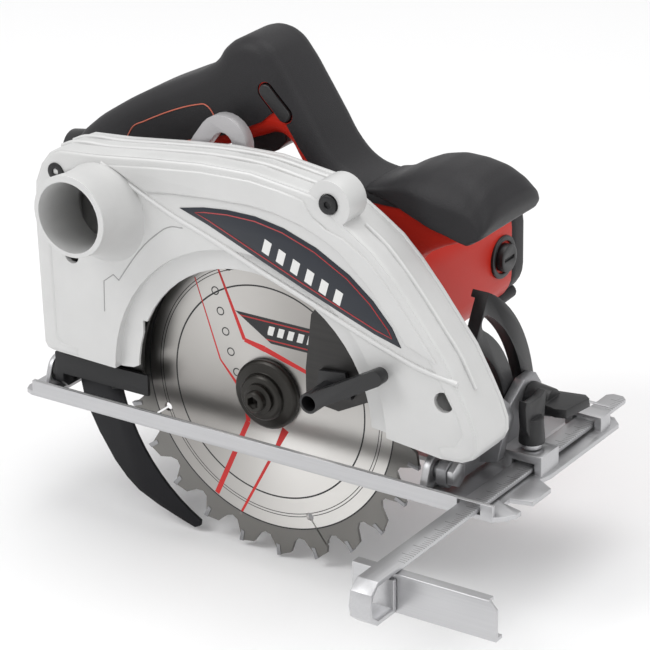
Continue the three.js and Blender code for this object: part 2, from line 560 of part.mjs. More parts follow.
add("armature", join(
  rodY(motorX, motorZ, 5, 14.8, motorY1 - 6, 20),
  rodY(motorX, motorZ, 23.4, coreY0 + 2, coreY1 - 2, 36),
  rodY(motorX, motorZ, 15, coreY0 - 8, coreY1 + 8, 24),
  rodY(motorX, motorZ, 12.5, brushY - 10, brushY + 7, 24),
), copper());
add("fan", join(
  cut(rodY(motorX, motorZ, 34, 48.5, 50.5, 36), rodY(motorX, motorZ, 5.3, 40, 60, 20)),
  ringY(motorX, motorZ, 5.3, 10, 48.5, 59, 20),
  ...Array.from({ length: 10 }, (_, i) => {
    const g = new THREE.BoxGeometry(23, 9, 1.8).translate(21, 54.8, 0).rotateY(rad(36 * i));
    return solid(g.translate(motorX, 0, motorZ));
  }),
), black());
add("pinion", cut(
  plateY(gearPoints(motorX, motorZ, pinionTeeth, pinionR, 1.5, 1.9, pinionTurn), 20.6, 35.4),
  rodY(motorX, motorZ, 5.3, 10, 50, 20),
), darkSteel());
add("motor_bearing_gear_side", bearing(motorX, motorZ, 5.3, 11, 37, 43.4), steel());
add("motor_bearing_cap_side", bearing(motorX, motorZ, 5.3, 8.3, 173.4, 181), steel());
for (const [i, s] of [1, -1].entries()) {
  add("brush_" + (i + 1), rodX(brushY, motorZ, 4, ...(s > 0
    ? [motorX + 13, motorX + 38.4] : [motorX - 38.4, motorX - 13]), 16), darkSteel());
  add("brush_cap_" + (i + 1), cut(
    s > 0
      ? rodX(brushY, motorZ, 8, motorX + 38.8, motorX + 46, 24)
      : rodX(brushY, motorZ, 8, motorX - 46, motorX - 38.8, 24),
    box(motorX + s * 46 - 1.6, motorX + s * 46 + 1.6, brushY - 5, brushY + 5, motorZ - 1, motorZ + 1),
  ), black());
}

// Handle: two halves along the grip, with soft pads
const handleOutline = [
  [-150, 90], [-147, 103], [-138, 113], [-120, 126], [-100, 138], [-80, 148], [-62, 157],
  [-52, 164.5], [-47, 171.5], [-40, 177], [-30, 180], [-20, 177.4], [-12, 169.6], [-2, 155.4],
  [8, 140.4], [18, 125.6], [28, 117.5], [40, 114.5], [52, 115.5], [64, 121], [78, 125], [92, 123.5], [101, 118],
  [106, 110], [105, 101], [98, 94], [84, 87], [66, 75], [52, 58], [46, 40], [38, 20], [-20, 20],
  [-34, 38], [-60, 60], [-100, 72], [-136, 78],
];
const gripOpening = [
  [-82, 90], [-84, 100], [-78, 106], [-60, 113], [-42, 120.5], [-26, 127], [-15, 131], [-8, 129],
  [-2, 121], [5, 110], [11, 98], [13, 88], [8, 81], [-10, 77], [-40, 77], [-68, 81],
];
const skin = 3;
const handleCore = inset(handleOutline, skin);
const trigX0 = -50, trigX1 = -13;
// Solid through outlines of one vertex count, each given as [outline in (x, z), y]
function stackY(layers) {
  const n = layers[0][0].length, pos = [], tri = [];
  for (const [pts, y] of layers) for (const [x, z] of pts) pos.push(x, y, z);
  for (let k = 0; k < layers.length - 1; k++)
    for (let i = 0; i < n; i++) {
      const a = k * n + i, b = k * n + ((i + 1) % n);
      tri.push(a, b, b + n, a, b + n, a + n);
    }
  const last = layers.length - 1;
  for (const [k, first] of [[0, true], [last, false]]) {
    const pts = layers[k][0].map(([x, z]) => new THREE.Vector2(x, z));
    const ccw = THREE.ShapeUtils.area(pts) > 0;
    for (const t of THREE.ShapeUtils.triangulateShape(pts, [])) {
      const same = THREE.ShapeUtils.area(t.map((i) => pts[i])) > 0 === ccw;
      const [a, b, c] = t.map((i) => i + k * n);
      if (same === first) tri.push(c, b, a);
      else tri.push(a, b, c);
    }
  }
  const g = new THREE.BufferGeometry();
  g.setAttribute("position", new THREE.Float32BufferAttribute(pos, 3));
  g.setIndex(tri);
  return solid(g);
}
const halfShell = (near) => {
  const s = near ? -1 : 1;
  const at = (d) => handleY + s * (handleHalf - d); // depth d below the outer face
  const mid = handleY + (s * gap) / 2;
  const outer = stackY([[inset(handleCore, 5), at(0)], [inset(handleCore, 1.6), at(1.8)],
    [inset(handleCore, 0.001), at(5)], [inset(handleCore, 0), mid]]);
  const opening = stackY([[inset(gripOpening, -4), at(-0.1)], [inset(gripOpening, -1.3), at(1.8)],
    [gripOpening, at(5)], [gripOpening, mid - s * 1]]);
  const pocket = stackY([[inset(handleCore, 4.2), at(4)], [inset(handleCore, 4.2), mid - s * 1]]);
  const core = stackY([[inset(gripOpening, -4.2), at(3)], [inset(gripOpening, -4.2), mid - s * 2]]);
  return cut(outer, opening, cut(pocket, core), rodY(motorX, motorZ, motorR + gap, 0, 200, 48),
    box(trigX0 - 1, trigX1 + 1, handleY - 9.5, handleY + 9.5, 100, 136.9));
};
add("handle_half_blade_side", cut(halfShell(true),
  plateY(capsule([-18.5, 155], 4.4, [-7.5, 144], 4.4, 12), 20, 45)), red());
add("handle_half_motor_side", halfShell(false), red());
const strip = (i0, i1, out, inn) => {
  const o = inset(handleOutline, out), n = inset(handleOutline, inn);
  return [...o.slice(i0, i1 + 1), ...n.slice(i0, i1 + 1).reverse()];
};
add("handle_grip_pad", plateY(strip(1, 17, 0, skin - gap), handleY - 15, handleY + 15), rubber());
const knob = solid(new THREE.SphereGeometry(1, 24, 12).scale(40, 32, 26).translate(86, 55, 107));
add("front_grip_pad", cut(
  common(knob, box(42, 130, 0, 100, 95.5, 140)),
  plateY(inset(handleCore, -gap), handleY - handleHalf - gap, handleY + handleHalf + gap),
  plateY(strip(14, 22, -1, skin - gap - 0.3).map(([x, z]) => [x, z]), handleY - 15.3, handleY + 15.3),
), rubber());

// Switch, trigger and the two buttons
add("switch_body", box(-44, -16, handleY - 8.5, handleY + 8.5, 137, 152), black());
add("trigger", plateY([[-49, 112], [-40, 111], [-30, 113.5], [-20, 118.5], [-14.5, 124], [-15, 130],
  [-20, 134], [-47, 134], [-49, 128]], handleY - 8.5, handleY + 8.5), black());
add("lock_off_button", plateY(capsule([-18.5, 155], 4, [-7.5, 144], 4, 12),
  handleY - handleHalf - 2, handleY - 13), black());
add("spindle_lock", join(
  rodX(lockY, motorZ, 3.2, motorX + 16, motorX + motorR + 5, 16),
  rodX(lockY, motorZ, 5.5, motorX + motorR + 4.5, motorX + motorR + 10.5, 20, 4.8),
), black());
add("cord_gland", cut(
  rodX(handleY, 92, 9, -164, -150.4, 24, 11), rodX(handleY, 92, 4.2, -170, -140, 16),
), rubber());
for (const [i, [x, z]] of [[-132, 98], [24, 104], [-27, 162]].entries())
  add("handle_screw_" + (i + 1), rodY(x, z, 2.5, handleY - 14.5, handleY + 14.5, 12), steel());

place.position.set(0, -(soleY0 + soleY1) / 2, -soleBottom);
export default saw;
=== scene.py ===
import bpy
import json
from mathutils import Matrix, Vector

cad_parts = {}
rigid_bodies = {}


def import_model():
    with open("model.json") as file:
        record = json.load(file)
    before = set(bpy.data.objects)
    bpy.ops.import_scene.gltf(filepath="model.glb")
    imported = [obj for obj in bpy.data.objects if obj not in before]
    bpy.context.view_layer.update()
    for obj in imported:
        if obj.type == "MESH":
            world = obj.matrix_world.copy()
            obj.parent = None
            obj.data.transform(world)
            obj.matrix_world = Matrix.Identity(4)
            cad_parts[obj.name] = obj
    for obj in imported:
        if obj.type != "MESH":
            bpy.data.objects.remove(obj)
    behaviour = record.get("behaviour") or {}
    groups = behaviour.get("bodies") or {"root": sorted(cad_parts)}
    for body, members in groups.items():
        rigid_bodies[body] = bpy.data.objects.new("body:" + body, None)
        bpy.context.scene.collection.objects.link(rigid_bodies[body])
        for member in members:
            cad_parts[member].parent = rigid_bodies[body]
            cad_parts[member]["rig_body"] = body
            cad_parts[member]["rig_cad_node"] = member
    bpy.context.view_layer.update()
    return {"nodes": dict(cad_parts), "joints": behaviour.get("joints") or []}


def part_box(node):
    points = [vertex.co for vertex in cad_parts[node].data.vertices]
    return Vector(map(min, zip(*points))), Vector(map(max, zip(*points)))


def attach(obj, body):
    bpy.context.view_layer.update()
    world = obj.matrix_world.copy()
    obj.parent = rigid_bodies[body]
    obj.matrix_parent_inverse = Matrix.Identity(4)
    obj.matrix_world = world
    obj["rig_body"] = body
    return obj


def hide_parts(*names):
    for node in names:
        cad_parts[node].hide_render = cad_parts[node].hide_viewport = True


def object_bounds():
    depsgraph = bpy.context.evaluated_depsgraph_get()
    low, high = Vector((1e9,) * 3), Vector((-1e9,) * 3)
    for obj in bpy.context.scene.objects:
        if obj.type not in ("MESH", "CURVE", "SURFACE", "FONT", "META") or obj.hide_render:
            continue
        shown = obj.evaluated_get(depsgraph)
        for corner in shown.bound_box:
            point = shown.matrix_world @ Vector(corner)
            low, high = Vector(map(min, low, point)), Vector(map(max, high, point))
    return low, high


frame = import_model()

import json
import math

import bpy
from mathutils import Matrix, Vector

mm = 0.001
joints = {joint["name"]: joint for joint in frame["joints"]}
arbor = Vector(joints["spindle_spin"]["pos_m"])  # centre of the blade's outer face
nodes = frame["nodes"]


def fromArbor(x, y, z):  # millimetres from the arbor to a point in the frame
    return arbor + Vector((x, y, z)) * mm


def clearSelection():
    bpy.ops.object.select_all(action="DESELECT")


def choose(*pieces):
    clearSelection()
    for piece in pieces:
        piece.select_set(True)
    bpy.context.view_layer.objects.active = pieces[0]


# angles in degrees, lengths in millimetres, from the arbor
view = {"turn": 34.03, "rise": 23.42, "roll": -1.007, "lens": 177.24, "film": 36,
        "away": 1682.6, "right": -29.357, "up": -35.587, "farthest": 20}


def makeCamera():
    turn, rise, roll = (math.radians(view[k]) for k in ("turn", "rise", "roll"))
    level = math.cos(rise)
    back = Vector((math.sin(turn) * level, -math.cos(turn) * level, math.sin(rise)))
    right = Vector((math.cos(turn), math.sin(turn), 0))
    up = back.cross(right)
    across = right * math.cos(roll) + up * math.sin(roll)
    upright = up * math.cos(roll) - right * math.sin(roll)
    data = bpy.data.cameras.new("camera")
    data.lens = view["lens"]
    data.sensor_width = view["film"]
    data.clip_end = view["farthest"]
    camera = bpy.data.objects.new("camera", data)
    bpy.context.scene.collection.objects.link(camera)
    spot = back * view["away"] - across * view["right"] - upright * view["up"]
    camera.matrix_world = Matrix.Translation(arbor + spot * mm) @ Matrix(
        (across, upright, back)).transposed().to_4x4()
    bpy.context.scene.camera = camera


makeCamera()
print("camera ready")


class Wire:  # a shader socket that can be added, multiplied and compared
    def __init__(self, finish, socket):
        self.finish = finish
        self.socket = socket

    def maths(self, operation, a, b=None):
        inputs = {0: a} if b is None else {0: a, 1: b}
        return self.finish.node("ShaderNodeMath", {"operation": operation}, inputs)

    def __add__(self, other):
        return self.maths("ADD", self, other)

    def __sub__(self, other):
        return self.maths("SUBTRACT", self, other)

    def __rsub__(self, other):
        return self.maths("SUBTRACT", other, self)

    def __mul__(self, other):
        return self.maths("MULTIPLY", self, other)

    def __truediv__(self, other):
        return self.maths("DIVIDE", self, other)

    def __rtruediv__(self, other):
        return self.maths("DIVIDE", other, self)

    def __pow__(self, other):
        return self.maths("POWER", self, other)

    def __mod__(self, other):
        return self.maths("MODULO", self, other)

    def __lt__(self, other):
        return self.maths("LESS_THAN", self, other)

    def __gt__(self, other):
        return self.maths("GREATER_THAN", self, other)

    def __abs__(self):
        return self.maths("ABSOLUTE", self)

    __radd__ = __add__
    __rmul__ = __mul__


class Finish:
    def __init__(self, name):
        self.material = bpy.data.materials.new(name)
        self.material.use_nodes = True
        self.tree = self.material.node_tree
        self.tree.nodes.clear()
        self.place = self.node("ShaderNodeTexCoord", {}, {}, "Object")

    def node(self, kind, settings, inputs, output=0):
        made = self.tree.nodes.new(kind)
        for key, value in settings.items():
            setattr(made, key, value)
        for key, value in inputs.items():
            if isinstance(value, Wire):
                self.tree.links.new(value.socket, made.inputs[key])
            else:
                made.inputs[key].default_value = value
        self.last = made
        return Wire(self, made.outputs[output])

    def noise(self, scale, detail=3, rough=0.5, at=None):
        return self.node("ShaderNodeTexNoise", {}, {
            "Vector": at or self.place, "Scale": scale, "Detail": detail, "Roughness": rough})

    def axes(self):
        self.node("ShaderNodeSeparateXYZ", {}, {"Vector": self.place})
        return [Wire(self, socket) for socket in self.last.outputs]

    def mix(self, factor, a, b):
        sockets = {0: factor, 6: colour(a), 7: colour(b)}
        return self.node("ShaderNodeMix", {"data_type": "RGBA"}, sockets, 2)

    def stretched(self, x, y, z):
        return self.node("ShaderNodeMapping", {}, {"Vector": self.place, "Scale": (x, y, z)})

    def bump(self, height, strength, distance=0.0005):
        return self.node("ShaderNodeBump", {}, {
            "Height": height, "Strength": strength, "Distance": distance})

    def surface(self, **sockets):
        names = {key.replace("_", " "): value for key, value in sockets.items()}
        shader = self.node("ShaderNodeBsdfPrincipled", {}, {
            key: colour(value) if key == "Base Color" else value for key, value in names.items()})
        out = self.tree.nodes.new("ShaderNodeOutputMaterial")
        self.tree.links.new(shader.socket, out.inputs["Surface"])
        return self.material


def colour(value):
    return value if isinstance(value, Wire) or len(value) == 4 else (*value, 1)


def grained(name, base, dark, rough, metal, grain, depth, blotch=60, shine=0.5):
    # fine grain, slow colour change and a roughness that follows the slow change
    made = Finish(name)
    slow = made.noise(blotch, 4)
    fine = made.noise(grain, 2, 0.6)
    normal = made.bump(fine, depth)
    return made.surface(Base_Color=made.mix(slow, dark, base),
                        Roughness=slow * 0.12 + (rough - 0.06), Metallic=metal, Normal=normal,
                        Specular_IOR_Level=shine)


alloyTint = {"light": (0.64, 0.64, 0.635), "shade": (0.58, 0.58, 0.575)}
# where the guard's inner faces get painted shade, and the colour of that shade
paintedShadeZone = {"radius": 101, "front": -13.5, "back": 8.6, "colour": (0.035, 0.034, 0.033)}


def castInside():
    # cast alloy whose inner faces, near the blade, are duller and painted dark as shade
    made = Finish("castAlloyInside")
    x, y, z = made.axes()
    across, deep, high = (x - arbor.x) * 1000, (y - arbor.y) * 1000, (z - arbor.z) * 1000
    radius = (across ** 2 + high ** 2) ** 0.5
    slow, fine = made.noise(60, 4), made.noise(2600, 2, 0.6)
    inner = (radius < paintedShadeZone["radius"]) * (deep > paintedShadeZone["front"]) * (deep < paintedShadeZone["back"])
    base = made.mix(slow, alloyTint["shade"], alloyTint["light"])
    # painted shade: the inner faces take the dark colour
    return made.surface(Base_Color=made.mix(inner, base, paintedShadeZone["colour"]),
                        Roughness=slow * 0.12 + inner * 0.2 + 0.40, Metallic=0.22,
                        Normal=made.bump(fine, 0.10))


def brushed(name, base, dark, rough, along, grain=900.0):
    # long fine scratches that run along one axis
    made = Finish(name)
    scale = [grain, grain, grain]
    scale["XYZ".index(along)] = grain / 60
    streak = made.noise(1.0, 3, 0.65, made.stretched(*scale))
    cloud = made.noise(25, 3)
    return made.surface(Base_Color=made.mix(streak * 0.6 + cloud * 0.4, dark, base),
                        Roughness=streak * 0.2 + cloud * 0.1 + (rough - 0.12), Metallic=0.92,
                        Normal=made.bump(streak, 0.12, 0.0002))


# rings have a radius and a half width, stripes two ends and a half width at each of them
bladePrint = {
    "rim": 77.7, "spotsFrom": 21, "redTo": 77.5,
    "rings": [(77.7, 0.4), (70.6, 0.22), (69.0, 0.22), (59.9, 0.45)],
    "stripes": [(-34.5, 73, -15, 27, 0.5, 1.2), (-46, 56, -31, 12, 0.35, 0.5),
                (-31, 12, -19, -1.5, 0.5, 1.0), (-15, 27, -2, 24.5, 1.2, 1.8),
                (-2, 24.5, 40, 13.0, 1.6, 0.9), (-19, -1.5, -14.5, -8, 1.0, 1.8),
                (-14.5, -8, -14, -20, 1.8, 1.4), (-14, -20, -36, -68, 1.5, 1.5),
                (10, -19, 4, -31, 2.2, 1.2), (4, -31, -21, -77, 0.9, 0.7)],
    "spots": [(-33, 51), (-30, 40), (-27, 29), (-24, 18), (-20.5, 7)], "spotRadius": 2.1,
    "labelLow": 28.6, "labelHigh": 42.6, "labelEnd": 41.6, "labelLines": (40.6, 30.4),
    "thinLine": 0.35,
}
bladeTint = {
    "dark": (0.15, 0.138, 0.128), "light": (0.76, 0.745, 0.72),
    "rimDark": (0.17, 0.165, 0.155), "rimLight": (0.25, 0.245, 0.235),
    "ring": (0.012, 0.012, 0.013), "spot": (0.02, 0.02, 0.02), "stripe": (0.55, 0.012, 0.012),
    "label": (0.010, 0.010, 0.012), "labelLine": (0.40, 0.015, 0.015), "mark": (0.72, 0.72, 0.70),
}


def bladeSteel():
    # ground steel with a painted highlight in two fans, and rings, stripes and a label printed on
    # its outer face
    made = Finish("bladeSteel")
    x, y, z = made.axes()
    across, high = (x - arbor.x) * 1000, (z - arbor.z) * 1000
    radius = (across ** 2 + high ** 2) ** 0.5
    spread = made.node("ShaderNodeCombineXYZ", {}, {"X": radius * 7, "Y": 0.0, "Z": 0.0})
    rings = made.noise(1.0, 4, 0.7, spread)
    cloud = made.noise(18, 3)
    outside = radius > bladePrint["rim"]
    # painted highlight: the colour is lighter in two fans, where a turned face would shine
    sheen = (across * 0.53 - high * 0.85) / (radius + 1)  # a turned face shines in two fans
    fan = sheen ** 2 * 0.52 + sheen * 0.22 + 0.10
    steel = made.mix(rings * 0.25 + cloud * 0.15 + fan, bladeTint["dark"], bladeTint["light"])
    steel = made.mix(outside, steel, made.mix(cloud, bladeTint["rimDark"], bladeTint["rimLight"]))

    def ring(at, half):
        return abs(radius - at) < half

    def stripe(x0, z0, x1, z1, half0, half1):
        length = math.hypot(x1 - x0, z1 - z0)
        ux, uz = (x1 - x0) / length, (z1 - z0) / length
        along = (across - x0) * ux + (high - z0) * uz
        off = abs((across - x0) * -uz + (high - z0) * ux)
        wide = along * ((half1 - half0) / length) + half0
        return (wide > off) * (along > 0) * (along < length)

    def spot(x0, z0):
        away = ((across - x0) ** 2 + (high - z0) ** 2) ** 0.5
        return abs(away - bladePrint["spotRadius"]) < bladePrint["thinLine"]

    front = y < arbor.y + 0.0002
    black = sum(ring(*size) for size in bladePrint["rings"])
    red = sum(stripe(*run) for run in bladePrint["stripes"])
    small = sum(spot(*place) for place in bladePrint["spots"])
    label = (high > bladePrint["labelLow"]) * (high < bladePrint["labelHigh"]) * (
        across < bladePrint["labelEnd"]) * (across * 0.62 + high > 29.8)
    lines = label * sum(abs(high - at) < bladePrint["thinLine"] for at in bladePrint["labelLines"])
    marks = label * (abs(high - 35.8) < 2.6) * (across > 0) * (across < 31) * (
        (across - high * 0.3 + 60) % 6.2 < 3.6)
    painted = made.mix(black > 0.5, steel, bladeTint["ring"])
    painted = made.mix((small > 0.5) * (radius > bladePrint["spotsFrom"]), painted,
                       bladeTint["spot"])
    painted = made.mix((red > 0.5) * (radius < bladePrint["redTo"]), painted, bladeTint["stripe"])
    painted = made.mix(label, painted, bladeTint["label"])
    painted = made.mix(lines > 0.5, painted, bladeTint["labelLine"])
    painted = made.mix(marks > 0.5, painted, bladeTint["mark"])
    printed = (black + red + label + small > 0.5) * front
    return made.surface(Base_Color=made.mix(front, steel, painted), Metallic=1 - printed * 0.95,
                        Roughness=0.26 + outside * 0.10 + rings * 0.12 + printed * 0.12,
                        Normal=made.bump(rings, 0.22, 0.0002))


# spacing and width of the marks in millimetres, their reach from the bar's edge in metres
ruler = {"small": (2, 0.32, 0.0038), "large": (10, 0.45, 0.0066), "start": 0.03, "skin": 0.0004}


def ruledSteel(name):
    # bright flat bar with a scale on its top face
    made = Finish(name)
    x, y, z = made.axes()
    streak = made.noise(1.0, 3, 0.65, made.stretched(900, 15, 900))
    cloud = made.noise(25, 3)
    low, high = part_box("fence_bar")
    onTop = (z > high.z - ruler["skin"]) * (y > low.y + ruler["start"])

    def marks(every, wide, reach):
        return ((y * 1000 + 500) % every < wide) * (x > high.x - reach)

    tick = (marks(*ruler["small"]) + marks(*ruler["large"]) > 0.5) * onTop
    base = made.mix(streak * 0.6 + cloud * 0.4, (0.44, 0.44, 0.45), (0.64, 0.64, 0.65))
    return made.surface(Base_Color=made.mix(tick * 0.8, base, (0.05, 0.05, 0.05)),
                        Metallic=0.92 - tick * 0.7, Roughness=streak * 0.2 + cloud * 0.1 + 0.24,
                        Normal=made.bump(streak, 0.12, 0.0002))


# light and dark colour, roughness, metal, grain and its depth, size of the clouds, shine
grainedFinishes = {
    "alloy": ("castAlloy", alloyTint["light"], alloyTint["shade"], 0.46, 0.22, 2600, 0.10),
    "arcAlloy": ("arcAlloy", (0.50, 0.49, 0.50), (0.42, 0.41, 0.42), 0.42, 0.45, 1500, 0.25),
    "blackMetal": ("blackCoatedMetal", (0.014, 0.014, 0.015), (0.008, 0.008, 0.009),
                   0.38, 0.2, 1500, 0.25),
    "black": ("blackPlastic", (0.013, 0.013, 0.014), (0.008, 0.008, 0.009),
              0.40, 0.0, 1800, 0.18),
    "red": ("redPlastic", (0.50, 0.020, 0.009), (0.44, 0.015, 0.007),
            0.40, 0.0, 2200, 0.10, 30, 0.2),
    "soft": ("softGrip", (0.022, 0.021, 0.023), (0.014, 0.0135, 0.015),
             0.50, 0.0, 1400, 0.35, 60, 0.3),
    "flange": ("blackenedSteel", (0.036, 0.033, 0.029), (0.018, 0.017, 0.015),
               0.34, 0.6, 900, 0.10),
    "navy": ("navyPanel", (0.010, 0.014, 0.024), (0.008, 0.011, 0.018), 0.30, 0.0, 900, 0.03),
    "redLine": ("redPrint", (0.42, 0.03, 0.035), (0.36, 0.025, 0.03), 0.4, 0.0, 900, 0.03),
    "white": ("whitePrint", (0.75, 0.75, 0.74), (0.68, 0.68, 0.67), 0.4, 0.0, 900, 0.03),
    "groove": ("shadedGroove", (0.36, 0.36, 0.36), (0.32, 0.32, 0.32), 0.6, 0.1, 2000, 0.05),
    "paleLine": ("paleSeam", (0.60, 0.16, 0.10), (0.50, 0.11, 0.07), 0.5, 0.0, 900, 0.03),
    "copper": ("copperWinding", (0.50, 0.20, 0.09), (0.36, 0.14, 0.06), 0.35, 0.85, 700, 0.4),
    "carbon": ("carbonBlock", (0.035, 0.035, 0.036), (0.02, 0.02, 0.02), 0.6, 0.1, 900, 0.2),
    "carbide": ("carbideTip", (0.36, 0.36, 0.37), (0.26, 0.26, 0.27), 0.34, 0.9, 2500, 0.1),
}
# light and dark colour, roughness, the axis that the scratches run along, their grain
brushedFinishes = {
    "sheet": ("platedSheet", (0.36, 0.36, 0.37), (0.26, 0.26, 0.27), 0.42, "X"),
    "steel": ("brightSteel", (0.62, 0.62, 0.63), (0.44, 0.44, 0.45), 0.36, "X"),
    "shaft": ("groundSteel", (0.62, 0.62, 0.63), (0.45, 0.45, 0.46), 0.28, "Y"),
    "knife": ("darkPlate", (0.030, 0.030, 0.032), (0.016, 0.016, 0.018), 0.40, "Z", 500),
    "guard": ("dullPlate", (0.075, 0.072, 0.070), (0.030, 0.030, 0.030), 0.36, "X", 400),
    "iron": ("stackedIron", (0.16, 0.16, 0.17), (0.09, 0.09, 0.10), 0.45, "X"),
}
finishes = {"ruled": ruledSteel("ruledBar"), "blade": bladeSteel(), "alloyInside": castInside()}
finishes.update({key: grained(*row) for key, row in grainedFinishes.items()})
finishes.update({key: brushed(*row) for key, row in brushedFinishes.items()})
print("finishes ready")


def finishPiece(piece, finish, body, angle=35, replaced=()):
    piece.data.materials.clear()
    piece.data.materials.append(finishes[finish])
    choose(piece)
    bpy.ops.object.shade_smooth_by_angle(angle=math.radians(angle))
    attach(piece, body)
    if replaced:
        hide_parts(*replaced)
    return piece


def applyAll(piece):
    choose(piece)
    for modifier in list(piece.modifiers):
        bpy.ops.object.modifier_apply(modifier=modifier.name)


def rounded(piece, width, steps=2, angle=32):
    bevel = piece.modifiers.new("edges", "BEVEL")
    bevel.width = width * mm
    bevel.segments = steps
    bevel.limit_method = "ANGLE"
    bevel.angle_limit = math.radians(angle)
    bevel.use_clamp_overlap = True
    applyAll(piece)
    return piece


def softened(node, finish, body, width=0.4, steps=2, angle=32):
    # a copy of the node with its edges eased, which stands for it
    piece = nodes[node].copy()
    piece.data = nodes[node].data.copy()
    piece.name = node + ".eased"
    piece.parent = None
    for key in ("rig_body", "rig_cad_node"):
        if key in piece:
            del piece[key]
    bpy.context.scene.collection.objects.link(piece)
    choose(piece)
    bpy.ops.object.mode_set(mode="EDIT")
    bpy.ops.mesh.select_all(action="SELECT")
    bpy.ops.mesh.remove_doubles(threshold=0.00002)
    bpy.ops.mesh.dissolve_limited(angle_limit=math.radians(0.8))
    bpy.ops.object.mode_set(mode="OBJECT")
    rounded(piece, width, steps, angle)
    return finishPiece(piece, finish, body, replaced=(node,))


planes = {
    "Y": Matrix(((1, 0, 0, 0), (0, 0, -1, 0), (0, 1, 0, 0), (0, 0, 0, 1))),
    "X": Matrix(((0, 0, 1, 0), (1, 0, 0, 0), (0, 1, 0, 0), (0, 0, 0, 1))),
    "Z": Matrix.Identity(4),
}


def flatSolid(name, outlines, low, high, round=0.0, steps=2, plane="Y", smooth=False):
    # outlines in millimetres from the arbor, thick from low to high across the plane
    curve = bpy.data.curves.new(name, "CURVE")
    curve.dimensions = "2D"
    curve.fill_mode = "BOTH"
    curve.extrude = (high - low) / 2 - round
    curve.bevel_depth = round
    curve.bevel_resolution = steps
    curve.offset = -round
    curve.resolution_u = 5
    for points in outlines:
        spline = curve.splines.new("BEZIER" if smooth else "POLY")
        if smooth:
            spline.bezier_points.add(len(points) - 1)
            for knot, (a, b) in zip(spline.bezier_points, points):
                knot.co = (a, b, 0)
                knot.handle_left_type = knot.handle_right_type = "AUTO"
        else:
            spline.points.add(len(points) - 1)
            for knot, (a, b) in zip(spline.points, points):
                knot.co = (a, b, 0, 1)
        spline.use_cyclic_u = True
    piece = bpy.data.objects.new(name, curve)
    bpy.context.scene.collection.objects.link(piece)
    choose(piece)
    bpy.ops.object.convert(target="MESH")
    piece = bpy.context.object
    piece.name = name
    middle = (low + high) / 2 * (-1 if plane == "Y" else 1)
    piece.data.transform(Matrix.Translation(arbor) @ Matrix.Diagonal((mm, mm, mm, 1))
                         @ planes[plane] @ Matrix.Translation((0, 0, middle)))
    choose(piece)
    bpy.ops.object.mode_set(mode="EDIT")
    bpy.ops.mesh.select_all(action="SELECT")
    bpy.ops.mesh.remove_doubles(threshold=0.00001)
    bpy.ops.mesh.normals_make_consistent(inside=False)
    bpy.ops.object.mode_set(mode="OBJECT")
    return piece


def boolean(piece, other, operation):
    change = piece.modifiers.new("cut", "BOOLEAN")
    change.object = other
    change.operation = operation
    change.solver = "EXACT"
    applyAll(piece)
    bpy.data.objects.remove(other)
    return piece


def line(name, points, radius, cyclic=False, smooth=True, sides=4):
    # a round bead through points given in millimetres from the arbor
    curve = bpy.data.curves.new(name, "CURVE")
    curve.dimensions = "3D"
    curve.bevel_depth = radius * mm
    curve.bevel_resolution = sides
    curve.resolution_u = 6
    curve.use_fill_caps = True
    spline = curve.splines.new("BEZIER" if smooth else "POLY")
    if smooth:
        spline.bezier_points.add(len(points) - 1)
        for knot, point in zip(spline.bezier_points, points):
            knot.co = fromArbor(*point)
            knot.handle_left_type = knot.handle_right_type = "AUTO"
    else:
        spline.points.add(len(points) - 1)
        for knot, point in zip(spline.points, points):
            knot.co = (*fromArbor(*point), 1)
    spline.use_cyclic_u = cyclic
    piece = bpy.data.objects.new(name, curve)
    bpy.context.scene.collection.objects.link(piece)
    choose(piece)
    bpy.ops.object.convert(target="MESH")
    return bpy.context.object


def joined(name, pieces):
    choose(*pieces)
    bpy.ops.object.join()
    pieces[0].name = name
    return pieces[0]


def inset(points, d):
    # the outline moved inwards by d
    n = len(points)
    area = sum(points[i][0] * points[(i + 1) % n][1] - points[(i + 1) % n][0] * points[i][1]
               for i in range(n))
    sign = 1 if area > 0 else -1
    out = []
    for i, (x, y) in enumerate(points):
        px, py = points[i - 1]
        qx, qy = points[(i + 1) % n]
        la, lb = math.hypot(x - px, y - py), math.hypot(qx - x, qy - y)
        na = (-(y - py) / la * sign, (x - px) / la * sign)
        nb = (-(qy - y) / lb * sign, (qx - x) / lb * sign)
        k = 1 + na[0] * nb[0] + na[1] * nb[1]
        out.append((x + d * (na[0] + nb[0]) / k, y + d * (na[1] + nb[1]) / k))
    return out


